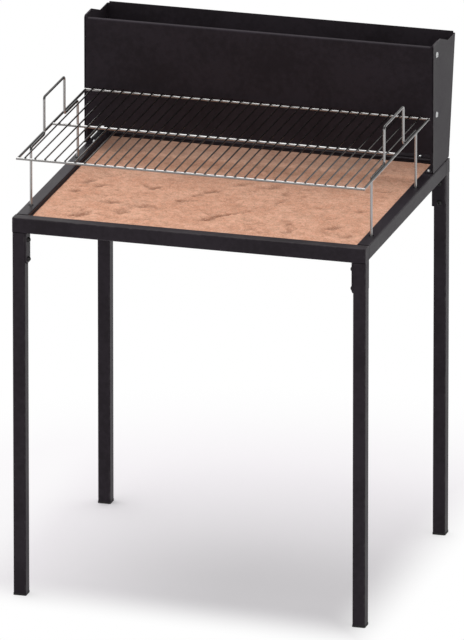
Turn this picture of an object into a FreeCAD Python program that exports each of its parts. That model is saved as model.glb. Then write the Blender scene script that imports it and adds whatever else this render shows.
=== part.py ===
import FreeCAD, Part
import math
import os

# A wood-fired barbecue. Lengths are in millimetres, X to the right, Y to the back, Z up.
# While it is built Y starts at the front of the frame; every piece is moved to the common
# origin, under the middle of the whole barbecue, when it is saved.

# Frame of rectangular tube
frame_width = 700.0
frame_depth = 593.0
rail_top = 760.0
rail_height = 30.0
rail_width = 25.0
rail_wall = 1.5
rail_corner = 3.0
plate_thick = 1.5

# Tray pan and its bed of sand
sheet = 1.5
sheet_bend = 3.0
tray_lift = 0.5
tray_gap = 0.2
tray_above_sand = 2.0
sand_drop = 7.5
sand_gap = 0.1

# Legs and feet
leg_size = 25.0
leg_wall = 1.5
leg_corner = 2.5
foot_rim = 4.0
foot_proud = 0.5
foot_plug = 18.0
foot_wall = 2.0
foot_gap = 0.1

# Corner brackets of steel angle, with the screws that hold the legs
angle_leg = 27.0
angle_thick = 3.0
angle_drop = 62.0
angle_cut = 6.0
leg_screw_drops = (15.5, 54.0)
leg_screw_dia = 6.0
leg_head_dia = 10.5
leg_head_high = 5.2
nut_across = 10.0
nut_high = 5.0
hole_clear = 0.2
thread_clear = 0.05
screw_past_nut = 1.0

# Fire box
box_inset = 1.0
box_deep = 114.0
box_high = 260.0
box_step = 21.0
box_step_start = 46.0
box_step_end = 107.0
box_lean = 43.0
rear_rise = 3.0
rear_notch = 4.5
side_corner = 6.0
side_gap = 2.5
sheet_gap = 0.1
flange_deep = 36.0
front_drop = 5.0
front_lip = 8.0
lip_end = 5.0
ember_gap = 40.0
fold_high = 8.0
fold_lap = 4.0
foot_tab_long = 27.0
foot_tab_start = 5.0
foot_tab_wide = 17.0
rear_flange = 17.5
rear_flange_end = 6.0
side_screw_back = 23.0
side_screw_highs = (114.5, 234.5)
side_head_dia = 11.5
side_head_high = 3.5
tap_dia = 4.2
tap_head_dia = 9.5
tap_head_high = 3.2
tap_long = 12.0
foot_screw_in = 14.0
foot_screw_back = 18.0
rear_screw_in = 12.0
rear_screw_end = 55.0

# Grill of welded wire
wire_dia = 5.0
bar_dia = 3.0
bar_count = 34
bar_side_gap = 10.75
weld_gap = 0.05
grill_inset = 7.5
grill_front = 12.5
grill_rear_gap = 12.0
grill_high = 115.0
grill_leg_span = 311.0
handle_wide = 134.0
handle_high = 74.5
wire_bend = 6.0
grill_hole_dia = 10.0
grill_seat = 0.3

# Values that follow from the ones above
rail_bottom = rail_top - rail_height
half = frame_width / 2
box_front = frame_depth - box_deep
box_rear_top = frame_depth + box_lean
middle_y = (box_rear_top - foot_proud) / 2
sand_top = rail_top - sand_drop
tray_floor = rail_bottom + tray_lift + sheet
tray_top = sand_top + tray_above_sand
box_half = half - box_inset
box_top = rail_top + box_high
box_rear_high = box_top - box_step
front_top = box_top - front_drop
flange_half = box_half - sheet - sheet_gap
side_screw_y = box_front + side_screw_back
wire_z = rail_top + grill_high
grill_half = half - grill_inset
grill_deep = box_front - grill_rear_gap - grill_front
grill_mid = grill_front + grill_deep / 2
leg_wire_half = grill_half - wire_dia - weld_gap
bar_pitch = 2 * (leg_wire_half - bar_side_gap) / (bar_count - 1)
grill_leg_ys = (grill_mid - grill_leg_span / 2, grill_mid + grill_leg_span / 2)
foot_screw_x = half - foot_screw_in
foot_screw_y = box_front + foot_screw_back
rear_screw_y = frame_depth - rear_screw_in
rear_screw_xs = (rear_screw_end - half, 0.0, half - rear_screw_end)


def vec(x, y, z):
    return FreeCAD.Vector(x, y, z)


def block(x0, x1, y0, y1, z0, z1):
    """A box between two corners."""
    return Part.makeBox(x1 - x0, y1 - y0, z1 - z0, vec(x0, y0, z0))


def rod(dia, start, way, length):
    """A round rod, also used to drill holes."""
    return Part.makeCylinder(dia / 2, length, start, way)


def along(shape, way):
    """Edges of a shape that run along one direction."""
    return [e for e in shape.Edges if abs(abs(e.tangentAt(e.FirstParameter).dot(way)) - 1) < 1e-6]


def round_bar(wide, deep, corner, length):
    """A bar with rounded corners, standing on the origin."""
    bar = block(-wide / 2, wide / 2, -deep / 2, deep / 2, 0, length)
    return bar.makeFillet(corner, along(bar, vec(0, 0, 1)))


def tube(wide, deep, wall, corner, length):
    """A square or rectangular tube, standing on the origin."""
    inside = round_bar(wide - 2 * wall, deep - 2 * wall, corner - wall, length)
    return round_bar(wide, deep, corner, length).cut(inside)


def rounded_line(points, radius):
    """Straight edges joined by arcs of one radius at the inner points."""
    edges = []
    last = points[0]
    for before, corner, after in zip(points, points[1:], points[2:]):
        came = (corner - before).normalize()
        goes = (after - corner).normalize()
        half_turn = came.getAngle(goes) / 2
        reach = radius * math.tan(half_turn)
        start = corner - came * reach
        end = corner + goes * reach
        inward = (goes - came).normalize()
        top = corner + inward * (radius / math.cos(half_turn) - radius)
        edges.append(Part.makeLine(last, start))
        edges.append(Part.Arc(start, top, end).toShape())
        last = end
    edges.append(Part.makeLine(last, points[-1]))
    return edges


def inner_line(points, thick):
    """The same line moved by the sheet thickness to the inside of its bends."""
    ways = [(b - a).normalize() for a, b in zip(points, points[1:])]
    axis = ways[0].cross(ways[1]).normalize()
    sides = [axis.cross(way) * thick for way in ways]
    moved = [points[0] + sides[0]]
    for corner, way, nxt, side, side_next in zip(points[1:], ways, ways[1:], sides, sides[1:]):
        turn = way.getAngle(nxt)
        moved.append(corner + side + way * (-thick * math.tan(turn / 2)))
    moved.append(points[-1] + sides[-1])
    return moved


def fold(points, run):
    """A folded sheet: the outer line of its section, carried along a run."""
    outer = rounded_line(points, sheet_bend)
    back = list(reversed(inner_line(points, sheet)))
    inner = rounded_line(back, sheet_bend - sheet)
    links = [Part.makeLine(points[-1], back[0]), Part.makeLine(back[-1], points[0])]
    outline = Part.Wire(Part.__sortEdges__(outer + links + inner))
    return Part.Face(outline).extrude(run)


def bent_wire(points, dia):
    """A round wire bent along a line of points."""
    path = Part.Wire(rounded_line(points, wire_bend))
    way = (points[1] - points[0]).normalize()
    ring = Part.Wire(Part.makeCircle(dia / 2, points[0], way))
    return path.makePipeShell([ring], True, False)


def turned(shape, seat, way):
    """A fastener drawn upright on the origin, set on its seat and pointing along a direction."""
    shape.Placement = FreeCAD.Placement(seat, FreeCAD.Rotation(vec(0, 0, 1), way))
    return shape


def dome(dia, high):
    """The cap of a ball, flat side down on the origin."""
    ball = (dia * dia / 4 + high * high) / (2 * high)
    sphere = Part.makeSphere(ball, vec(0, 0, high - ball))
    return sphere.common(rod(dia, vec(0, 0, 0), vec(0, 0, 1), high))


def hexagon(across, high):
    """A hexagonal bar, standing on the origin."""
    reach = across / math.sqrt(3)
    turns = [k * math.pi / 3 for k in range(7)]
    corners = [vec(reach * math.cos(turn), reach * math.sin(turn), 0) for turn in turns]
    return Part.Face(Part.makePolygon(corners)).extrude(vec(0, 0, high))


def socket_screw(dia, head, high, length):
    """A dome head with a six-sided socket, and its plain shank below."""
    key = hexagon(dia * 2 / 3, high)
    key.translate(vec(0, 0, high * 0.35))
    shank = rod(dia, vec(0, 0, -length), vec(0, 0, 1), length)
    return dome(head, high).cut(key).fuse(shank).removeSplitter()


def cross_screw(dia, head, high, length):
    """A round head with a cross recess, and its plain shank below."""
    arm = head * 0.27
    slot = high * 0.45
    wide = head * 0.06
    cross = block(-arm, arm, -wide, wide, slot, high).fuse(block(-wide, wide, -arm, arm, slot, high))
    shank = rod(dia, vec(0, 0, -length), vec(0, 0, 1), length)
    return dome(head, high).cut(cross).fuse(shank).removeSplitter()


def nut(dia):
    """A hexagonal nut, standing on the origin."""
    thread = rod(dia + 2 * thread_clear, vec(0, 0, 0), vec(0, 0, 1), nut_high)
    return hexagon(nut_across, nut_high).cut(thread)


def cross_rail(y):
    """The front or rear rail, lying along X."""
    rail = tube(rail_height, rail_width, rail_wall, rail_corner, frame_width - 2 * plate_thick)
    rail.rotate(vec(0, 0, 0), vec(0, 1, 0), 90)
    rail.translate(vec(plate_thick - half, y, rail_top - rail_height / 2))
    return rail


def rear_rail():
    """The rear rail, tapped for the screws of the fire box."""
    rail = cross_rail(frame_depth - rail_width / 2)
    for x in rear_screw_xs:
        start = vec(x, rear_screw_y, rail_top + 1)
        rail = rail.cut(rod(tap_dia + 2 * thread_clear, start, vec(0, 0, -1), rail_wall + 2))
    return rail


def side_rail(side):
    """A side rail, with the holes for two grill legs and one screw of the fire box."""
    rail = tube(rail_width, rail_height, rail_wall, rail_corner, frame_depth - 2 * rail_width)
    rail.rotate(vec(0, 0, 0), vec(1, 0, 0), -90)
    rail.translate(vec(side * (half - rail_width / 2), rail_width, rail_top - rail_height / 2))
    for y in grill_leg_ys:
        start = vec(side * leg_wire_half, y, rail_top + 1)
        rail = rail.cut(rod(grill_hole_dia, start, vec(0, 0, -1), rail_wall + 2))
    start = vec(side * foot_screw_x, foot_screw_y, rail_top + 1)
    return rail.cut(rod(tap_dia + 2 * thread_clear, start, vec(0, 0, -1), rail_wall + 2))


def end_plates():
    """Plates that close the open ends of the front and rear rails."""
    plates = []
    for x in (-half, half - plate_thick):
        for y in (rail_width / 2, frame_depth - rail_width / 2):
            plate = round_bar(rail_height, rail_width, rail_corner, plate_thick)
            plate.rotate(vec(0, 0, 0), vec(0, 1, 0), 90)
            plate.translate(vec(x, y, rail_top - rail_height / 2))
            plates.append(plate)
    return Part.makeCompound(plates)


def tray_pan():
    """A shallow folded pan between the rails."""
    x = half - rail_width - tray_gap
    y0 = rail_width + tray_gap
    y1 = frame_depth - rail_width - tray_gap
    z0 = rail_bottom + tray_lift
    outside = block(-x, x, y0, y1, z0, tray_top)
    inside = block(sheet - x, x - sheet, y0 + sheet, y1 - sheet, tray_floor, tray_top)
    lower = [e for e in outside.Edges if e.BoundBox.ZMax < z0 + 0.1]
    lower_in = [e for e in inside.Edges if e.BoundBox.ZMax < tray_floor + 0.1]
    return outside.makeFillet(sheet_bend, lower).cut(inside.makeFillet(sheet_bend - sheet, lower_in))


def sand_bed():
    """The level bed of sand that fills the pan, rounded below like the bends of the pan."""
    off = tray_gap + sheet + sand_gap
    x = half - rail_width - off
    sand = block(-x, x, rail_width + off, frame_depth - rail_width - off, tray_floor, sand_top)
    lower = [e for e in sand.Edges if e.BoundBox.ZMax < tray_floor + 0.1]
    return sand.makeFillet(sheet_bend - sheet, lower)


def leg_middle(side, end):
    """Middle of a leg in plan; side is -1 left or 1 right, end is 0 front or 1 rear."""
    x = side * (half - leg_size / 2)
    return vec(x, leg_size / 2 if end == 0 else frame_depth - leg_size / 2, 0)


def screw_way(side, end):
    """Direction from a leg to the heads of its screws: across on front legs, forward on rear ones."""
    return vec(-side, 0, 0) if end == 0 else vec(0, -1, 0)


def leg(side, end):
    """A square tube leg, drilled for its two screws."""
    post = tube(leg_size, leg_size, leg_wall, leg_corner, rail_bottom - foot_rim)
    post.translate(leg_middle(side, end) + vec(0, 0, foot_rim))
    way = screw_way(side, end)
    for drop in leg_screw_drops:
        start = leg_middle(side, end) + vec(0, 0, rail_bottom - drop)
        post = post.cut(rod(leg_screw_dia + 2 * hole_clear, start, way, leg_size))
    return post


def foot_cap(side, end):
    """A plastic foot: a rim under the tube and a hollow plug inside it."""
    wide = leg_size + 2 * foot_proud
    plug = leg_size - 2 * leg_wall - 2 * foot_gap
    rim = round_bar(wide, wide, leg_corner, foot_rim)
    body = rim.fuse(round_bar(plug, plug, leg_corner - leg_wall, foot_rim + foot_plug))
    hollow = plug - 2 * foot_wall
    hole = block(-hollow / 2, hollow / 2, -hollow / 2, hollow / 2, foot_rim, foot_rim + foot_plug)
    cap = body.cut(hole).removeSplitter()
    cap.translate(leg_middle(side, end))
    return cap


def bracket(side, end):
    """A length of angle under the rails; the leg stands in its corner."""
    z0 = rail_bottom - angle_drop
    inner = half - leg_size
    root_x = inner - angle_thick
    root_y = leg_size + angle_thick
    far_x = root_x + angle_leg
    far_y = root_y - angle_leg
    across = block(root_x, far_x, leg_size, root_y, z0, rail_bottom)
    steel = across.fuse(block(root_x, inner, far_y, root_y, z0, rail_bottom)).removeSplitter()
    root = [e for e in along(steel, vec(0, 0, 1)) if abs(e.BoundBox.XMin - root_x) < 0.1
            and abs(e.BoundBox.YMin - root_y) < 0.1]
    steel = steel.makeFillet(angle_thick / 2, root)
    nip = [e for e in steel.Edges if e.BoundBox.ZMax < z0 + 0.1 and e.Length < angle_thick + 0.1
           and (e.BoundBox.XMin > far_x - 0.1 or e.BoundBox.YMax < far_y + 0.1)]
    steel = steel.makeChamfer(angle_cut, nip)
    middle = half - leg_size / 2
    for drop in leg_screw_drops:
        if end == 0:
            start = vec(inner, leg_size / 2, rail_bottom - drop)
            steel = steel.cut(rod(leg_screw_dia + 2 * hole_clear, start, vec(-1, 0, 0), angle_thick))
        else:
            start = vec(middle, leg_size, rail_bottom - drop)
            steel = steel.cut(rod(leg_screw_dia + 2 * hole_clear, start, vec(0, 1, 0), angle_thick))
    if end == 1:
        steel = steel.mirror(vec(0, frame_depth / 2, 0), vec(0, 1, 0))
    if side < 0:
        steel = steel.mirror(vec(0, 0, 0), vec(1, 0, 0))
    return steel


def leg_fasteners():
    """The dome-headed leg screws and the nuts inside the legs."""
    screws = []
    nuts = []
    length = angle_thick + leg_wall + nut_high + screw_past_nut
    for side in (-1, 1):
        for end in (0, 1):
            way = screw_way(side, end)
            for drop in leg_screw_drops:
                axis = leg_middle(side, end) + vec(0, 0, rail_bottom - drop)
                seat = axis + way * (leg_size / 2 + angle_thick)
                screw = socket_screw(leg_screw_dia, leg_head_dia, leg_head_high, length)
                screws.append(turned(screw, seat, way))
                inside = axis + way * (leg_size / 2 - leg_wall - nut_high)
                nuts.append(turned(nut(leg_screw_dia), inside, way))
    return Part.makeCompound(screws), Part.makeCompound(nuts)


def side_holes(shape):
    """Drills the side screws through both sides of a fire box sheet."""
    for high in side_screw_highs:
        start = vec(-half, side_screw_y, rail_top + high)
        shape = shape.cut(rod(leg_screw_dia + 2 * hole_clear, start, vec(1, 0, 0), frame_width))
    return shape


def fire_box_front():
    """The front panel: side flanges inside the shell, two feet, a top lip and an open gap below."""
    low = rail_top + fold_high
    corners = [vec(flange_half, box_front + flange_deep, low), vec(flange_half, box_front, low),
               vec(-flange_half, box_front, low), vec(-flange_half, box_front + flange_deep, low)]
    panel = fold(corners, vec(0, 0, box_top - low))
    clear = flange_half - sheet_bend - sheet
    face = (box_front - 1, box_front + sheet_bend)
    panel = panel.cut(block(-clear, clear, face[0], face[1], low, rail_top + ember_gap))
    lip_half = flange_half - lip_end
    notch = block(-lip_half, lip_half, face[0], face[1], front_top - fold_high, box_top)
    corners = [e for e in along(notch, vec(0, 1, 0)) if e.BoundBox.ZMax < box_top - 1]
    panel = panel.cut(notch.makeFillet(sheet_bend, corners))
    # Its upper corners are rounded like those of the shell's sides
    turn = vec(-half, box_front + side_corner, box_top - side_corner)
    corner = block(-half, half, face[0], turn.y, turn.z, box_top)
    panel = panel.cut(corner.cut(rod(2 * side_corner, turn, vec(1, 0, 0), frame_width)))
    crest = vec(-lip_half, box_front, front_top)
    lip = [crest - vec(0, 0, fold_high + fold_lap), crest, crest + vec(0, front_lip, 0)]
    panel = panel.fuse(fold(lip, vec(2 * lip_half, 0, 0)))
    tab_y = box_front + foot_tab_start
    for side in (-1, 1):
        heel = vec(side * flange_half, tab_y, rail_top)
        tab = [heel + vec(0, 0, fold_high + fold_lap), heel, heel - vec(side * foot_tab_wide, 0, 0)]
        panel = panel.fuse(fold(tab, vec(0, foot_tab_long, 0)))
        start = vec(side * foot_screw_x, foot_screw_y, rail_top - 1)
        panel = panel.cut(rod(tap_dia + 2 * hole_clear, start, vec(0, 0, 1), sheet + 2))
    return side_holes(panel).removeSplitter()


def prism(points, x):
    """A section given in Y and Z, carried from -x to x."""
    ring = [vec(-x, y, z) for y, z in points]
    return Part.Face(Part.makePolygon(ring + ring[:1])).extrude(vec(2 * x, 0, 0))


def rounded_back(shape, lean, radius):
    """Rounds the two leaning corner edges of a prism."""
    return shape.makeFillet(radius, along(shape, lean))


def fire_box_shell():
    """One folded sheet: leaning back, two sides with stepped tops, a flange on the rear rail."""
    foot = vec(0, frame_depth, rail_top)
    head = vec(0, box_rear_top, box_rear_high + rear_rise)
    lean = (head - foot).normalize()
    inward = vec(0, -lean.z, lean.y)
    toe = foot + lean * (side_gap / lean.z)
    shoulder = head - lean * (rear_rise / lean.z)
    step = [(box_front + box_step_end, box_rear_high), (box_front + box_step_start, box_top)]
    back = [(box_front, toe.z), (toe.y, toe.z), (shoulder.y, shoulder.z)]
    solid = prism(back + step + [(box_front, box_top)], box_half)
    corner = [e for e in along(solid, vec(1, 0, 0)) if e.BoundBox.YMax < box_front + 0.1
              and e.BoundBox.ZMin > box_top - 0.1]
    solid = rounded_back(solid.makeFillet(side_corner, corner), lean, sheet_bend)
    low = foot + inward * sheet - lean * rail_height
    high = head + inward * sheet + lean * rail_height
    hollow = [(0, low.z), (low.y, low.z), (high.y, high.z), (0, high.z)]
    shell = solid.cut(rounded_back(prism(hollow, box_half - sheet), lean, sheet_bend - sheet))
    # Between its corners the back stands a little above the ends of the sides
    strip = [shoulder - lean * fold_lap, head, head + inward * sheet,
             shoulder + inward * sheet - lean * fold_lap]
    shell = shell.fuse(prism([(p.y, p.z) for p in strip], box_half - rear_notch))
    wide = box_half - rear_flange_end
    start_y = frame_depth - rail_width
    shell = shell.cut(block(-wide, wide, start_y, box_rear_top, rail_top, rail_top + fold_high))
    heel = vec(-wide, foot.y, foot.z)
    flange = [heel - vec(0, rear_flange, 0), heel, heel + lean * (fold_high + fold_lap)]
    shell = shell.fuse(fold(flange, vec(2 * wide, 0, 0)))
    for x in rear_screw_xs:
        start = vec(x, rear_screw_y, rail_top - 1)
        shell = shell.cut(rod(tap_dia + 2 * hole_clear, start, vec(0, 0, 1), sheet + 2))
    return side_holes(shell).removeSplitter()


def side_fasteners():
    """The bright screws that join front panel and shell, and their nuts."""
    screws = []
    nuts = []
    flange_inside = flange_half - sheet
    length = box_half - flange_inside + nut_high + screw_past_nut
    for side in (-1, 1):
        way = vec(side, 0, 0)
        for high in side_screw_highs:
            axis = vec(0, side_screw_y, rail_top + high)
            seat = axis + way * box_half
            screw = cross_screw(leg_screw_dia, side_head_dia, side_head_high, length)
            screws.append(turned(screw, seat, way))
            nuts.append(turned(nut(leg_screw_dia), axis + way * (flange_inside - nut_high), way))
    return Part.makeCompound(screws), Part.makeCompound(nuts)


def tapping_screws(spots):
    """Self-tapping screws driven down through a flange into a rail."""
    up = vec(0, 0, 1)
    screws = []
    for x, y in spots:
        screw = cross_screw(tap_dia, tap_head_dia, tap_head_high, tap_long)
        screws.append(turned(screw, vec(x, y, rail_top + sheet), up))
    return Part.makeCompound(screws)


def cross_wire(y, reach):
    """A straight wire across the grill."""
    return rod(wire_dia, vec(-reach, y, wire_z), vec(1, 0, 0), 2 * reach)


def side_wire(side):
    """A straight side wire, welded between the front and rear cross wires."""
    short = wire_dia / 2 + weld_gap
    start = vec(side * grill_half, grill_front + short, wire_z)
    return rod(wire_dia, start, vec(0, 1, 0), grill_deep - 2 * short)


def grill_bars():
    """The thin long bars, laid across the tops of the cross wires."""
    z = wire_z + wire_dia / 2 + weld_gap + bar_dia / 2
    start_y = grill_front - wire_dia / 2
    bars = []
    for k in range(bar_count):
        x = (k - (bar_count - 1) / 2) * bar_pitch
        bars.append(rod(bar_dia, vec(x, start_y, z), vec(0, 1, 0), grill_deep + wire_dia))
    return Part.makeCompound(bars)


def leg_handle(side):
    """One wire bent into front leg, lifting handle and rear leg; it stands inside the side rail."""
    x = side * leg_wire_half
    foot = rail_bottom + rail_wall + grill_seat
    grip = wire_z + handle_high
    front, rear = grill_leg_ys
    near = grill_mid - handle_wide / 2
    far = grill_mid + handle_wide / 2
    line = [(front, foot), (front, wire_z), (near, wire_z), (near, grip),
            (far, grip), (far, wire_z), (rear, wire_z), (rear, foot)]
    return bent_wire([vec(x, y, z) for y, z in line], wire_dia)


def save(node, shape):
    """Moves a piece to the common origin and writes it."""
    piece = shape.copy()
    piece.translate(vec(0, -middle_y, 0))
    piece.exportStep("parts/" + node + ".step")


os.makedirs("parts", exist_ok=True)
save("front_rail", cross_rail(rail_width / 2))
save("rear_rail", rear_rail())
save("left_rail", side_rail(-1))
save("right_rail", side_rail(1))
save("rail_end_plates", end_plates())
save("tray_pan", tray_pan())
save("sand_bed", sand_bed())
for side, side_name in ((-1, "left"), (1, "right")):
    for end, end_name in ((0, "front"), (1, "rear")):
        place = end_name + "_" + side_name
        save(place + "_leg", leg(side, end))
        save(place + "_foot", foot_cap(side, end))
        save(place + "_bracket", bracket(side, end))
leg_screws, leg_nuts = leg_fasteners()
save("leg_screws", leg_screws)
save("leg_nuts", leg_nuts)
save("fire_box_front", fire_box_front())
save("fire_box_shell", fire_box_shell())
side_screws, side_nuts = side_fasteners()
save("box_side_screws", side_screws)
save("box_side_nuts", side_nuts)
save("box_foot_screws", tapping_screws([(-foot_screw_x, foot_screw_y), (foot_screw_x, foot_screw_y)]))
save("box_rear_screws", tapping_screws([(x, rear_screw_y) for x in rear_screw_xs]))
save("grill_front_wire", cross_wire(grill_front, grill_half + wire_dia / 2))
save("grill_middle_wire", cross_wire(grill_mid, grill_half - wire_dia / 2 - weld_gap))
save("grill_rear_wire", cross_wire(grill_front + grill_deep, grill_half + wire_dia / 2))
save("grill_left_wire", side_wire(-1))
save("grill_right_wire", side_wire(1))
save("grill_bars", grill_bars())
save("grill_left_leg_handle", leg_handle(-1))
save("grill_right_leg_handle", leg_handle(1))
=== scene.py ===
import math

import bmesh
import bpy
import numpy as np
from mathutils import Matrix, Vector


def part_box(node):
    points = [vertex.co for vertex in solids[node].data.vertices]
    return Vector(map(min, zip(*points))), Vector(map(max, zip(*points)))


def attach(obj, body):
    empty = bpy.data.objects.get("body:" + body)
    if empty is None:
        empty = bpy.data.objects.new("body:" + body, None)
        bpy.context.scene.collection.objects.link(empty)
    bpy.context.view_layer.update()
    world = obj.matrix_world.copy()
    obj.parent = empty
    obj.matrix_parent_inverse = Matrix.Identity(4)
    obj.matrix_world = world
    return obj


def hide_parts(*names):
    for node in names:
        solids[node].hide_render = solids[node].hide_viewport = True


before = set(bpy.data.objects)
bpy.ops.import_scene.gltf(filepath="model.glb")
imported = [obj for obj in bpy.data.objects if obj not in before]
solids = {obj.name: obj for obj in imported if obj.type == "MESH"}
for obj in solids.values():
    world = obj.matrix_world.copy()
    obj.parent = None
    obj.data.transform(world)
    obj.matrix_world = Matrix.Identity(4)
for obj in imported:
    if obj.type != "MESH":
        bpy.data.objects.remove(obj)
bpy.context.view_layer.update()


# The table's rim is four lengths of rectangular steel tube, butted and welded into a frame.
# The open ends are closed with plates, and the whole frame is sprayed with black heat-proof
# paint and baked, so its skin is even, a little grainy, and thinnest along the edges.

def add(tree, kind, inputs=None, **settings):
    """Adds one shader node, gives it its settings, and fills its inputs with values or links."""
    made = tree.nodes.new("ShaderNode" + kind)
    for name, setting in settings.items():
        setattr(made, name, setting)
    for name, given in (inputs or {}).items():
        if isinstance(given, bpy.types.NodeSocket):
            tree.links.new(given, made.inputs[name])
        else:
            made.inputs[name].default_value = given
    return made


def reckon(tree, operation, *terms):
    """One sum on one or more terms, each a number or a link."""
    return add(tree, "Math", dict(enumerate(terms)), operation=operation).outputs[0]


def fade(tree, source, low, high, start=0.0, end=1.0):
    """Start where the source is below low, end where it is above high, and a soft S between."""
    return add(tree, "MapRange", {0: source, 1: low, 2: high, 3: start, 4: end},
               interpolation_type="SMOOTHSTEP").outputs[0]


def blend_colour(tree, share, first, second):
    """The first colour where the share is 0 and the second where it is 1."""
    return add(tree, "Mix", {0: share, 6: first, 7: second}, data_type="RGBA").outputs[2]


def noise(tree, place, per_metre, detail=2.0, rough=0.5):
    """A cloudy value from 0 to 1, with about the given number of clouds in a metre."""
    return add(tree, "TexNoise", {"Vector": place, "Scale": per_metre, "Detail": detail,
                                  "Roughness": rough}).outputs[0]


def bump(tree, height, strength, metres):
    """A normal that tilts with the height, as if 1 stood the given metres tall."""
    return add(tree, "Bump", {"Height": height, "Strength": strength, "Distance": metres}).outputs[0]


def object_place(tree):
    """Where a point is on the piece, in metres."""
    return add(tree, "TexCoord").outputs["Object"]


def facing_up(tree):
    """1 where the surface faces up, 0 where it stands upright, and -1 where it faces down."""
    normal = add(tree, "NewGeometry").outputs["Normal"]
    return add(tree, "SeparateXYZ", {0: normal}).outputs[2]


def shader_group(name, inputs, outputs):
    """An empty node group with named sockets: its tree, what it is given, and what it puts out."""
    tree = bpy.data.node_groups.new(name, "ShaderNodeTree")
    for label, (kind, default) in inputs.items():
        socket = tree.interface.new_socket(label, in_out="INPUT", socket_type="NodeSocket" + kind)
        socket.default_value = default
    for label in outputs:
        kind = "NodeSocketColor" if label == "Color" else "NodeSocketFloat"
        tree.interface.new_socket(label, in_out="OUTPUT", socket_type=kind)
    given = tree.nodes.new("NodeGroupInput").outputs
    result = tree.nodes.new("NodeGroupOutput").inputs
    return tree, given, result


def new_finish(name):
    """A new material: itself, its tree and its Principled shader."""
    finish = bpy.data.materials.new(name)
    finish.use_nodes = True
    return finish, finish.node_tree, finish.node_tree.nodes["Principled BSDF"]


def dress(node, finish):
    """Gives one CAD piece its finish."""
    solids[node].material_slots[0].material = finish


thin_paint = (0.0187, 0.0152, 0.0186, 1)
thick_paint = (0.0286, 0.0234, 0.0290, 1)
seam_painted_shade = (0.003, 0.002, 0.003, 1)
bare_steel = (0.20, 0.19, 0.19, 1)
ash_dust = (0.36, 0.32, 0.29, 1)
paint_gloss = 0.12
gloss_tint = (0.97, 0.89, 0.94, 1)
sheen_spread = 0.34
rubbed_gloss = -0.3
dust_dullness = 0.8

# Sprayed film: broad clouds of thicker and thinner paint, small blotches, and orange peel.
paint_film, given, result = shader_group(
    "paint_film",
    {"Thin": ("Color", thin_paint), "Thick": ("Color", thick_paint), "Sheen": ("Float", 0.45)},
    ("Color", "Roughness", "Height"))
place = object_place(paint_film)
clouds = noise(paint_film, place, per_metre=11, detail=3)
blotch = noise(paint_film, place, per_metre=95, detail=4, rough=0.6)
peel = noise(paint_film, place, per_metre=900, detail=1)
nibs = fade(paint_film, noise(paint_film, place, per_metre=420, detail=0), low=0.70, high=0.80)
cover = reckon(paint_film, "MULTIPLY_ADD", blotch, 0.45, reckon(paint_film, "MULTIPLY", clouds, 0.55))
colour = blend_colour(paint_film, fade(paint_film, cover, low=0.36, high=0.62),
                      given["Thin"], given["Thick"])
thicker = reckon(paint_film, "SUBTRACT", cover, 0.5)
dull = reckon(paint_film, "MULTIPLY_ADD", thicker, sheen_spread, given["Sheen"])
grains = reckon(paint_film, "ADD", peel, reckon(paint_film, "MULTIPLY_ADD", blotch, 0.5, nibs))
paint_film.links.new(colour, result["Color"])
paint_film.links.new(dull, result["Roughness"])
paint_film.links.new(grains, result["Height"])

# Edges rubbed in handling: of a point's three distances past the piece's box, the second
# largest is near zero along the edges and only there; noise breaks the line up.
rubbed_edge, given, result = shader_group(
    "rubbed_edge",
    {"Middle": ("Vector", (0, 0, 0)), "Half": ("Vector", (1, 1, 1)), "Width": ("Float", 0.004)},
    ("Mask",))
place = object_place(rubbed_edge)
apart = add(rubbed_edge, "VectorMath", {0: place, 1: given["Middle"]}, operation="SUBTRACT").outputs[0]
apart = add(rubbed_edge, "VectorMath", {0: apart}, operation="ABSOLUTE").outputs[0]
apart = add(rubbed_edge, "VectorMath", {0: apart, 1: given["Half"]}, operation="SUBTRACT").outputs[0]
x, y, z = add(rubbed_edge, "SeparateXYZ", {0: apart}).outputs
largest = reckon(rubbed_edge, "MAXIMUM", reckon(rubbed_edge, "MAXIMUM", x, y), z)
smallest = reckon(rubbed_edge, "MINIMUM", reckon(rubbed_edge, "MINIMUM", x, y), z)
total = reckon(rubbed_edge, "ADD", reckon(rubbed_edge, "ADD", x, y), z)
second = reckon(rubbed_edge, "SUBTRACT", reckon(rubbed_edge, "SUBTRACT", total, largest), smallest)
line = fade(rubbed_edge, reckon(rubbed_edge, "DIVIDE", second, given["Width"]), low=-1, high=-0.1)
chafe = fade(rubbed_edge, noise(rubbed_edge, place, per_metre=70, detail=6, rough=0.7),
             low=0.46, high=0.66)
rubbed_edge.links.new(reckon(rubbed_edge, "MULTIPLY", line, chafe), result["Mask"])

# Dust that settles on what faces up, thicker in drifts.
settled_dust, given, result = shader_group("settled_dust", {"Most": ("Float", 0.1)}, ("Mask",))
place = object_place(settled_dust)
drift = fade(settled_dust, noise(settled_dust, place, per_metre=26, detail=5, rough=0.65),
             low=0.40, high=0.72, start=0.25, end=1)
level = fade(settled_dust, facing_up(settled_dust), low=0.35, high=0.95)
lying = reckon(settled_dust, "MULTIPLY", level, drift)
settled_dust.links.new(reckon(settled_dust, "MULTIPLY", lying, given["Most"]), result["Mask"])


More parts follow.
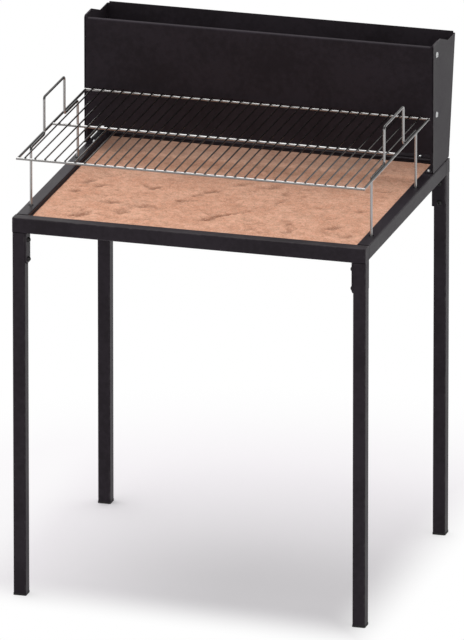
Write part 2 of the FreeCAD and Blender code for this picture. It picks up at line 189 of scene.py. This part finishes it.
def black_paint(node, sheen=0.46, rub=0.14, dust=0.06, seams=0.0):
    """Baked black paint for one steel piece, rubbed on its own edges and dusty where it faces up.
    Where it butts against its neighbours in front and behind, a dark seam of the given width, painted
    shade of the joint's gap."""
    low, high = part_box(node)
    middle, half = (low + high) / 2, (high - low) / 2
    finish, tree, skin = new_finish("black_paint_" + node)
    film = add(tree, "Group", {"Sheen": sheen}, node_tree=paint_film).outputs
    edge = add(tree, "Group", {"Middle": middle, "Half": half}, node_tree=rubbed_edge).outputs["Mask"]
    lying = add(tree, "Group", {"Most": dust}, node_tree=settled_dust).outputs["Mask"]
    worn = reckon(tree, "MULTIPLY", edge, rub)
    colour = blend_colour(tree, worn, film["Color"], bare_steel)
    colour = blend_colour(tree, lying, colour, ash_dust)
    rough = reckon(tree, "MULTIPLY_ADD", worn, rubbed_gloss, film["Roughness"])
    rough = reckon(tree, "MULTIPLY_ADD", lying, dust_dullness, rough)
    if seams:
        # Painted shade: a dark band near both ends, where the rail meets the front and rear rails.
        back = add(tree, "SeparateXYZ", {0: object_place(tree)}).outputs[1]
        off_middle = reckon(tree, "ABSOLUTE", reckon(tree, "SUBTRACT", back, middle.y))
        seam = fade(tree, off_middle, low=half.y - seams, high=half.y - seams / 2)
        colour = blend_colour(tree, seam, colour, seam_painted_shade)
        rough = reckon(tree, "MAXIMUM", rough, seam)
    tree.links.new(colour, skin.inputs["Base Color"])
    tree.links.new(rough, skin.inputs["Roughness"])
    tree.links.new(bump(tree, film["Height"], strength=0.25, metres=0.0002), skin.inputs["Normal"])
    skin.inputs["Specular IOR Level"].default_value = paint_gloss
    skin.inputs["Specular Tint"].default_value = gloss_tint
    dress(node, finish)
    return finish


seam_shade_width = 0.0022
for rail in ("front_rail", "rear_rail", "rail_end_plates"):
    black_paint(rail)
left_paint = black_paint("left_rail", sheen=0.37, dust=0.03, seams=seam_shade_width)
black_paint("right_rail", sheen=0.45, dust=0.0, seams=seam_shade_width)


# Each side rail is welded to the front and rear rails along its inner corner. The beads are
# left as laid there; on top and outside the joint is ground flush, and its dark seam is painted shade of
# the gap.

def grid_quads(rows, columns, round_columns=False):
    """Quads between neighbours of a grid of points, joined last column to first where asked."""
    row, column = np.meshgrid(np.arange(rows - 1), np.arange(columns - (not round_columns)),
                              indexing="ij")
    beside = (column + 1) % columns
    return np.stack([row * columns + column, row * columns + beside,
                     (row + 1) * columns + beside, (row + 1) * columns + column], -1).reshape(-1, 4)


def new_piece(name, points, faces, finish, body):
    """A smooth mesh at the origin, its poles and seams merged and its faces outward, on a body."""
    mesh = bpy.data.meshes.new(name)
    mesh.from_pydata(np.asarray(points).reshape(-1, 3), [], faces)
    shape = bmesh.new()
    shape.from_mesh(mesh)
    bmesh.ops.remove_doubles(shape, verts=shape.verts, dist=1e-6)
    bmesh.ops.recalc_face_normals(shape, faces=shape.faces)
    shape.to_mesh(mesh)
    shape.free()
    mesh.polygons.foreach_set("use_smooth", np.ones(len(mesh.polygons), bool))
    mesh.materials.append(finish)
    piece = bpy.data.objects.new(name, mesh)
    bpy.context.scene.collection.objects.link(piece)
    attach(piece, body)
    return piece


bead_leg = 0.0035
bead_ripple = 0.0022
bead_swell = 0.10
bead_bow = 1.4
bead_end_gap = 0.003
points_per_ripple = 6
points_round_bead = 7


def weld_bead(start, end, one_wall, other_wall):
    """A fillet weld: a quarter circle between two walls, and the corner itself, carried from
    start to end. The circle swells with every ripple, later at its crown than at its toes, so
    the ripples bow like the scales of a real bead, and it dies away at both ends."""
    start, end = np.array(start), np.array(end)
    length = np.linalg.norm(end - start)
    along = np.linspace(0, 1, int(length / bead_ripple * points_per_ripple))[:, None]
    turn = np.linspace(0, np.pi / 2, points_round_bead)[None]
    bow = bead_bow * np.sin(2 * turn)
    swell = 1 + bead_swell * np.sin(2 * np.pi * along * length / bead_ripple - bow)
    ends = np.sqrt(np.clip(np.minimum(along, 1 - along) * length / bead_leg, 0, 1))
    size = (bead_leg * swell * ends)[..., None]
    path = start + (end - start) * along[..., None]
    outward = (np.cos(turn)[..., None] * np.array(one_wall)
               + np.sin(turn)[..., None] * np.array(other_wall))
    return np.concatenate([path + size * outward, path], 1)


beads, bead_faces, points_so_far = [], [], 0
for rail, out in (("left_rail", 1), ("right_rail", -1)):
    low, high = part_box(rail)
    inner = high.x if out == 1 else low.x
    for seam, inward in ((low.y, 1), (high.y, -1)):
        bead = weld_bead((inner, seam, low.z + bead_end_gap), (inner, seam, high.z - bead_end_gap),
                         (out, 0, 0), (0, inward, 0))
        beads.append(bead.reshape(-1, 3))
        bead_faces.append(grid_quads(*bead.shape[:2], round_columns=True) + points_so_far)
        points_so_far += len(beads[-1])
new_piece("rail_welds", np.concatenate(beads), np.concatenate(bead_faces),
          left_paint, "stand")


# The hearth's pan is one sheet folded up at four sides. It drops between the rails and is
# painted with them, so only its thin upright rim shows round the sand.

black_paint("tray_pan", sheen=0.6, rub=0.05, dust=0.04)


# The hearth is a bed of fine reddish sand, filled into the pan and struck off roughly by hand.
# It keeps the embers off the steel, and shows soft swells, ripples and finger-wide hollows.
# Its hollows carry painted shade, and towards the back it is darkened by soot and painted shade.

sand_low, sand_high = (np.array(corner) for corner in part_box("sand_bed"))
sand_pitch = 0.0023
sand_skirt = 0.002
sand_sink = 0.0004
deepest, tallest = -0.0065, 0.0020
calm_rim, calm_share = 0.03, 0.15

# Lengths of the waves in the sand and their heights, each set shorter than the one before.
sand_waves = ((0.140, 0.0006), (0.060, 0.0009), (0.030, 0.0011), (0.015, 0.0010), (0.008, 0.0003))
waves_in_set = 9
wave_bend = 0.12
ragged_wave, ragged_reach = 0.016, 0.0022

# The small scoops: how many, and between what bounds their length, their width as a share of
# it and their depth lie. Their turn is drawn about a mean, in radians.
scoop_count = 90
scoop_long, scoop_slim, scoop_deep = (0.020, 0.045), (0.22, 0.36), (0.0006, 0.0020)
scoop_turn, scoop_turn_spread = 0.80, 0.3

# The hollows that fingers and the scraper left: right and back of the middle, length, width,
# turn from left-right towards the back in degrees, and depth, all else in millimetres.
finger_hollows = np.array((
    (1, -200, 32, 20, 30, 4.8), (14, -176, 24, 12, 50, 6.4), (36, -156, 36, 9, 36, 4.6),
    (-35, -31, 32, 10, 32, 5.8), (-57, -56, 30, 11, 55, 2.4), (-80, -99, 18, 14, 10, 5.0),
    (-168, -29, 28, 10, -45, 3.6), (-148, -37, 30, 13, 48, 5.0), (-202, -144, 34, 18, 18, 5.0),
    (-137, -151, 46, 30, 5, 3.8), (-166, -179, 42, 26, 80, 2.2), (-165, -204, 40, 24, 70, 2.0),
    (-240, -235, 40, 20, 42, 8.0), (-243, -208, 26, 11, 110, 2.4), (-290, -94, 26, 20, 30, 5.6),
    (-253, -52, 26, 15, 55, 5.6), (-282, -31, 28, 14, 40, 3.6), (248, -183, 34, 18, 42, 4.8),
    (290, -224, 40, 18, 35, 3.6), (170, -226, 38, 20, 70, 4.0), (160, -181, 44, 20, 110, 2.4),
    (272, -73, 19, 14, 15, 6.0), (107, -61, 40, 13, 75, 3.4), (102, -2, 34, 14, 85, 2.6),
    (67, 24, 36, 22, 35, 4.0), (2, 21, 30, 18, 50, 3.4), (65, -126, 28, 14, 45, 2.2)))


def lumps(x, y, wave, count, draw):
    """A sum of waves of about one length that run in all directions, from about -1 to 1."""
    heading, start = draw.uniform(0, 2 * np.pi, (2, count, 1, 1))
    number = 2 * np.pi / (wave * draw.uniform(0.7, 1.4, (count, 1, 1)))
    return np.sin(number * (x * np.cos(heading) + y * np.sin(heading)) + start).mean(0) * 1.6


def hollow(x, y, at, length, width, turn, depth):
    """A soft scoop: depth times a bell over an ellipse that is turned and laid at a point."""
    along = (x - at[0]) * math.cos(turn) + (y - at[1]) * math.sin(turn)
    across = (y - at[1]) * math.cos(turn) - (x - at[0]) * math.sin(turn)
    return depth * np.exp(-(2 * along / length) ** 2 - (2 * across / width) ** 2)


def sand_height(x, y):
    """Lumps of ever shorter waves, each set pushed aside by the longer ones before it, less small
    scoops at random and the finger hollows, and calmed where the rim was struck off."""
    draw = np.random.default_rng(24)
    height = np.zeros(x.shape)
    bent_x, bent_y = x, y
    for wave, tall in sand_waves:
        lump = lumps(bent_x, bent_y, wave, waves_in_set, draw)
        height += tall * lump
        bent_x, bent_y = bent_x + wave_bend * wave * lump, bent_y - wave_bend * wave * lump
    for _ in range(scoop_count):
        at = (draw.uniform(sand_low[0], sand_high[0]), draw.uniform(sand_low[1], sand_high[1]))
        long = draw.uniform(*scoop_long)
        wide = draw.uniform(*scoop_slim) * long
        turn = draw.normal(scoop_turn, scoop_turn_spread)
        height -= hollow(bent_x, bent_y, at, long, wide, turn, draw.uniform(*scoop_deep))
    ragged = ragged_reach * lumps(x, y, ragged_wave, waves_in_set, draw)
    for right, back, long, wide, turn, deep in finger_hollows:
        height -= hollow(x + ragged, y - ragged, (right / 1000, back / 1000), long / 1000, wide / 1000,
                         math.radians(turn), deep / 1000)
    inside = np.minimum(np.minimum(x - sand_low[0], sand_high[0] - x),
                        np.minimum(y - sand_low[1], sand_high[1] - y))
    calm = calm_share + (1 - calm_share) * np.clip(inside / calm_rim, 0, 1) ** 2
    return np.clip(height * calm, deepest, tallest)


across = np.linspace(sand_low[0], sand_high[0], round((sand_high[0] - sand_low[0]) / sand_pitch))
deep = np.linspace(sand_low[1], sand_high[1], round((sand_high[1] - sand_low[1]) / sand_pitch))
x, y = np.meshgrid(np.pad(across, 1, "edge"), np.pad(deep, 1, "edge"), indexing="ij")
z = sand_high[2] - sand_sink + sand_height(x, y)
rim = np.ones(x.shape, bool)
rim[1:-1, 1:-1] = False
z[rim] = sand_low[2] + sand_skirt
index = np.arange(x.size).reshape(x.shape)
underside = np.concatenate([index[0, 1:-1], index[1:-1, -1], index[-1, -2:0:-1], index[-2:0:-1, 0]])
sand_faces = grid_quads(*x.shape).tolist() + [underside[::-1].tolist()]

red_sand, pale_sand = (0.78, 0.395, 0.260, 1), (0.90, 0.505, 0.350, 1)
brown_clump = (0.48, 0.235, 0.145, 1)
hollow_painted_shade = (0.36, 0.165, 0.100, 1)
pale_grain, dark_grain = (0.96, 0.66, 0.50, 1), (0.30, 0.14, 0.08, 1)
soot_and_shade_grey = (0.085, 0.075, 0.068, 1)
hollow_brink, hollow_floor = 0.0002, 0.0048
clump_share, hollow_shade_share = 0.42, 0.9
grains_per_metre = 620
soot_and_shade_wander = 0.05

sand, tree, skin = new_finish("hearth_sand")
place = object_place(tree)
right, back, level = add(tree, "SeparateXYZ", {0: place}).outputs
# Painted shade: the deeper a point sinks below the sand's top, the more its colour turns to a shade
# brown.
sunken = fade(tree, level, low=sand_high[2] - hollow_floor, high=sand_high[2] - hollow_brink,
              start=1, end=0)
grain = add(tree, "TexVoronoi", {"Vector": place, "Scale": grains_per_metre}, feature="F1")
tint = add(tree, "SeparateXYZ", {0: grain.outputs["Color"]}).outputs
patch = fade(tree, noise(tree, place, per_metre=22, detail=5, rough=0.62), low=0.36, high=0.66)
clump = fade(tree, noise(tree, place, per_metre=90, detail=4, rough=0.7), low=0.40, high=0.64)
colour = blend_colour(tree, patch, red_sand, pale_sand)
colour = blend_colour(tree, reckon(tree, "MULTIPLY", clump, clump_share), colour, brown_clump)
colour = blend_colour(tree, reckon(tree, "MULTIPLY", sunken, hollow_shade_share), colour, hollow_painted_shade)
colour = blend_colour(tree, fade(tree, tint[0], low=0.50, high=1.0, end=0.45), colour, pale_grain)
colour = blend_colour(tree, fade(tree, tint[1], low=0.66, high=1.0, end=0.35), colour, dark_grain)
# Partly soot and partly painted shade of the fire box and grill: the sand darkens towards the back, a
# little under the grill and most under the fire box's panel, and less at the right.
drift = reckon(tree, "MULTIPLY_ADD", noise(tree, place, per_metre=24, detail=4, rough=0.6),
               soot_and_shade_wander, back)
under_grill = fade(tree, drift, low=-0.08, high=0.10, end=0.13)
under_panel = fade(tree, drift, low=0.155, high=0.205, end=0.34)
less_at_right = fade(tree, right, low=0.16, high=0.31, start=1, end=0.6)
soot_and_shade = reckon(tree, "MULTIPLY", reckon(tree, "ADD", under_grill, under_panel), less_at_right)
colour = blend_colour(tree, soot_and_shade, colour, soot_and_shade_grey)
grit = reckon(tree, "ADD", grain.outputs["Distance"], noise(tree, place, per_metre=380, detail=3))
tree.links.new(colour, skin.inputs["Base Color"])
tree.links.new(fade(tree, tint[2], low=0, high=1, start=0.8, end=0.98), skin.inputs["Roughness"])
tree.links.new(bump(tree, grit, strength=0.55, metres=0.0008), skin.inputs["Normal"])
skin.inputs["Specular IOR Level"].default_value = 0.15

sand_bed = new_piece("raked_sand", np.stack([x, y, z], -1), sand_faces, sand, "stand")
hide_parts("sand_bed")


# Four legs of square steel tube carry the rim, painted like the rails. Each stands in a short
# steel angle that is welded under a corner, and comes off for storage.

corners = ("front_left", "front_right", "rear_left", "rear_right")
for corner in corners:
    black_paint(corner + "_bracket", sheen=0.50)
    black_paint(corner + "_leg")


# Two dome-head screws hold each leg in its angle, with a nut inside the tube. The heads are
# blackened steel, and the nuts are zinc plated, like the fire box's own screws and nuts.

oxide_black, oxide_worn = (0.022, 0.020, 0.021, 1), (0.075, 0.070, 0.070, 1)
blackened, tree, skin = new_finish("blackened_screw")
place = object_place(tree)
worn = fade(tree, noise(tree, place, per_metre=420, detail=4, rough=0.6), low=0.45, high=0.75)
tree.links.new(blend_colour(tree, worn, oxide_black, oxide_worn), skin.inputs["Base Color"])
tree.links.new(fade(tree, worn, low=0, high=1, start=0.45, end=0.30), skin.inputs["Roughness"])
skin.inputs["Metallic"].default_value = 0.6
dress("leg_screws", blackened)

zinc_blue, zinc_pale = (0.46, 0.47, 0.48, 1), (0.62, 0.62, 0.61, 1)
zinc, tree, skin = new_finish("zinc_plate")
place = object_place(tree)
spangle = noise(tree, place, per_metre=620, detail=3, rough=0.6)
pits = noise(tree, place, per_metre=1800, detail=2)
tree.links.new(blend_colour(tree, fade(tree, spangle, low=0.35, high=0.7), zinc_blue, zinc_pale),
               skin.inputs["Base Color"])
tree.links.new(fade(tree, spangle, low=0.3, high=0.7, start=0.24, end=0.40), skin.inputs["Roughness"])
tree.links.new(bump(tree, pits, strength=0.2, metres=0.0001), skin.inputs["Normal"])
skin.inputs["Metallic"].default_value = 1.0
for fastener in ("leg_nuts", "box_side_screws", "box_side_nuts", "box_foot_screws", "box_rear_screws"):
    dress(fastener, zinc)


# A ribbed plug of black polyethylene closes the foot of each leg and spreads its load. Its
# moulded skin is dull, and scuffed pale where it has been dragged over the ground.

plug_black, plug_scuffed = (0.016, 0.015, 0.016, 1), (0.09, 0.085, 0.08, 1)
scuff_height = 0.004
foot_plastic, tree, skin = new_finish("foot_plastic")
place = object_place(tree)
above_ground = add(tree, "SeparateXYZ", {0: place}).outputs[2]
low_down = fade(tree, above_ground, low=0.0, high=scuff_height, start=1, end=0)
scratches = fade(tree, noise(tree, place, per_metre=240, detail=5, rough=0.7), low=0.42, high=0.7)
scuff = reckon(tree, "MULTIPLY", low_down, scratches)
mottle = noise(tree, place, per_metre=500, detail=2)
mould_grain = noise(tree, place, per_metre=2600, detail=2)
tree.links.new(blend_colour(tree, scuff, plug_black, plug_scuffed), skin.inputs["Base Color"])
tree.links.new(fade(tree, mottle, low=0.3, high=0.7, start=0.5, end=0.68), skin.inputs["Roughness"])
tree.links.new(bump(tree, mould_grain, strength=0.3, metres=0.0001), skin.inputs["Normal"])
skin.inputs["Specular IOR Level"].default_value = 0.25
for corner in corners:
    dress(corner + "_foot", foot_plastic)


# The fire box stands on the rear of the rim: a shell folded from one sheet, with a leaning
# back, and a front panel on two feet that is screwed between its sides. Embers fall out of the
# gap under the panel. Both sheets are painted like the frame.

black_paint("fire_box_shell", sheen=0.50, rub=0.18)
black_paint("fire_box_front", sheen=0.7, rub=0.05, dust=0.0)


# The grill is welded of drawn steel wire and plated with chrome: three cross wires and two
# side wires below, 34 thin bars on top, and at each side one wire bent into legs and grip.
# The bars are near black all round, a painted reflection of the dark fire box. Each wire's top
# and its sides differ in colour, painted light and shade: the cross wires darker on the sides
# and below, the side wires and grips darker on top.

speck_blur, haze_blur = 0.12, 0.10


def plated_wire(name, top_clear, top_hazy, sides, blur, metal=0.9):
    """Drawn wire with a thin plating: cloudy haze and fine specks, a slight drawn grain, one
    colour where it faces up, clear or hazy, and another on its sides and below, as painted light and
    shade."""
    finish, tree, skin = new_finish(name)
    place = object_place(tree)
    haze = fade(tree, noise(tree, place, per_metre=60, detail=5, rough=0.65), low=0.40, high=0.70)
    specks = fade(tree, noise(tree, place, per_metre=900, detail=2), low=0.62, high=0.75)
    drawn_grain = noise(tree, place, per_metre=1500, detail=3)
    # Painted light and shade: the colour changes between the wire's top and its sides and underside.
    painted_light_sides = fade(tree, facing_up(tree), low=0.0, high=0.35, start=1, end=0)
    colour = blend_colour(tree, haze, top_clear, top_hazy)
    colour = blend_colour(tree, painted_light_sides, colour, sides)
    rough = reckon(tree, "MULTIPLY_ADD", specks, speck_blur, blur)
    rough = reckon(tree, "MULTIPLY_ADD", haze, haze_blur, rough)
    tree.links.new(colour, skin.inputs["Base Color"])
    tree.links.new(rough, skin.inputs["Roughness"])
    tree.links.new(bump(tree, drawn_grain, strength=0.05, metres=0.0001), skin.inputs["Normal"])
    skin.inputs["Metallic"].default_value = metal
    return finish


chrome = plated_wire(
    "chrome_wire", top_clear=(0.36, 0.355, 0.35, 1), top_hazy=(0.30, 0.29, 0.285, 1),
    sides=(0.24, 0.228, 0.222, 1), blur=0.12)
side_chrome = plated_wire(
    "side_chrome_wire", top_clear=(0.060, 0.058, 0.057, 1), top_hazy=(0.046, 0.044, 0.043, 1),
    sides=(0.42, 0.414, 0.41, 1), blur=0.16, metal=0.6)
bars_painted_dark = plated_wire(
    "bars_painted_dark_chrome", top_clear=(0.050, 0.045, 0.043, 1), top_hazy=(0.038, 0.034, 0.032, 1),
    sides=(0.030, 0.026, 0.024, 1), blur=0.10, metal=0.8)
for wire in ("front_wire", "middle_wire", "rear_wire"):
    dress("grill_" + wire, chrome)
for wire in ("left_wire", "right_wire", "left_leg_handle", "right_leg_handle"):
    dress("grill_" + wire, side_chrome)
dress("grill_bars", bars_painted_dark)


# Every crossing of a bar and a cross wire is a resistance weld: the bar is pressed a little
# into the wire, and a small collar of steel is squeezed out round it.

def repeat_quads(quads, count, points_each):
    """The same quads for each of many copies of a shape."""
    return (quads[None] + points_each * np.arange(count)[:, None, None]).reshape(-1, 4)


bar_count = 34
collar_size = (0.0024, 0.0026, 0.0011)
collar_rings, ring_points = 6, 10
bar_low, bar_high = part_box("grill_bars")
bar_radius = (bar_high.z - bar_low.z) / 2
bar_places = np.linspace(bar_low.x + bar_radius, bar_high.x - bar_radius, bar_count)
cross_wires = [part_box("grill_" + name + "_wire") for name in ("front", "middle", "rear")]
crossing_x, crossing_y = np.meshgrid(bar_places, [(low.y + high.y) / 2 for low, high in cross_wires])
crossings = np.stack([crossing_x, crossing_y, np.full(crossing_x.shape, bar_low.z)], -1).reshape(-1, 3)


def collars(middles, size):
    """A flattened ball at each middle: rings of latitude, with both poles drawn to a point."""
    north = np.linspace(-np.pi / 2, np.pi / 2, collar_rings)[:, None]
    east = np.arange(ring_points)[None] * 2 * np.pi / ring_points
    ball = np.stack(np.broadcast_arrays(np.cos(north) * np.cos(east), np.cos(north) * np.sin(east),
                                        np.sin(north)), -1)
    return middles[:, None, None] + ball[None] * np.array(size)


collar_quads = repeat_quads(grid_quads(collar_rings, ring_points, round_columns=True), len(crossings),
                            collar_rings * ring_points)
new_piece("grill_welds", collars(crossings, collar_size), collar_quads, chrome, "grill")


# The studio: a pale floor, a white surround, and one broad soft lamp overhead, a little behind
# and to the left, so that the shadow lies under the table and towards the right front. Away
# from the table and beside it the floor is plain white to the eye and in reflections.

def seen_directly(tree):
    """1 for what the camera sees, straight, mirrored or through glass, and 0 for stray light."""
    ray = add(tree, "LightPath").outputs
    return reckon(tree, "MAXIMUM", ray["Is Camera Ray"],
                  reckon(tree, "MAXIMUM", ray["Is Glossy Ray"], ray["Is Transmission Ray"]))


white = (1, 1, 1, 1)
floor_pale = (0.98, 0.945, 0.98, 1)
floor_reach = 12
front_skew = 0.08
shade_lift = 0.2
surround_light = 0.60
floor_mesh = bpy.data.meshes.new("floor")
floor_mesh.from_pydata([(-floor_reach, -floor_reach, 0), (floor_reach, -floor_reach, 0),
                        (floor_reach, floor_reach, 0), (-floor_reach, floor_reach, 0)],
                       [], [(0, 1, 2, 3)])
floor = bpy.data.objects.new("floor", floor_mesh)
bpy.context.scene.collection.objects.link(floor)
floor_finish, tree, skin = new_finish("floor_white")
skin.inputs["Base Color"].default_value = floor_pale
skin.inputs["Roughness"].default_value = 1.0
skin.inputs["Specular IOR Level"].default_value = 0.0
seen = seen_directly(tree)
place = object_place(tree)
away = add(tree, "VectorMath", {0: place}, operation="LENGTH").outputs["Value"]
x, y = add(tree, "SeparateXYZ", {0: place}).outputs[:2]
# Painted light: to the eye and in reflections the floor glows a fifth of the way to white, which lifts
# its shadow, and at the front and the sides of the table it turns plain white where the shadow would
# fall.
skewed = reckon(tree, "MULTIPLY_ADD", x, front_skew, y)
at_right = fade(tree, x, low=0.25, high=0.41)
at_left = fade(tree, x, low=-0.50, high=-0.36, start=0.5, end=0)
in_front = fade(tree, skewed, low=-0.425, high=-0.23, start=1, end=0)
beside = reckon(tree, "MAXIMUM", reckon(tree, "MAXIMUM", at_right, at_left), in_front)
clear = reckon(tree, "MAXIMUM", fade(tree, away, low=0.45, high=1.1), beside)
glow = add(tree, "Emission", {"Color": white, "Strength": 1.0}).outputs[0]
shaded = add(tree, "MixShader", {0: reckon(tree, "MULTIPLY", seen, shade_lift),
                                 1: skin.outputs[0], 2: glow}).outputs[0]
mixed = add(tree, "MixShader", {0: reckon(tree, "MULTIPLY", seen, clear), 1: shaded, 2: glow}).outputs[0]
tree.links.new(mixed, tree.nodes["Material Output"].inputs["Surface"])
floor_mesh.materials.append(floor_finish)

surround = bpy.data.worlds.new("surround")
bpy.context.scene.world = surround
surround.use_nodes = True
tree = surround.node_tree
sky = tree.nodes["Background"].inputs
tree.links.new(fade(tree, seen_directly(tree), low=0, high=1, start=surround_light, end=1.0),
               sky["Strength"])
sky["Color"].default_value = white

lamp = bpy.data.lights.new("overhead", "AREA")
lamp.shape, lamp.size, lamp.energy = "DISK", 2.1, 46
lamp_object = bpy.data.objects.new("overhead", lamp)
bpy.context.scene.collection.objects.link(lamp_object)
lamp_x, lamp_y, lamp_z = -0.66, 0.58, 3.3
lamp_object.location = (lamp_x, lamp_y, lamp_z)
lamp_object.rotation_euler = (math.atan2(-lamp_y, lamp_z), math.atan2(lamp_x, lamp_z), 0)

camera = bpy.data.cameras.new("camera")
camera.lens, camera.sensor_width, camera.clip_end = 1114.3, 36, 120
camera_object = bpy.data.objects.new("camera", camera)
bpy.context.scene.collection.objects.link(camera_object)
look_round, look_down, look_far = math.radians(16.20), math.radians(18.28), 38.0
look_at = np.array((0.0002, -0.02125, 0.4928))
look_from = np.array((math.sin(look_round) * math.cos(look_down),
                      -math.cos(look_round) * math.cos(look_down), math.sin(look_down)))
camera_object.location = look_at + look_far * look_from
camera_object.rotation_euler = (math.pi / 2 - look_down, 0, look_round)
bpy.context.scene.camera = camera_object
bpy.context.scene.view_settings.view_transform = "Standard"
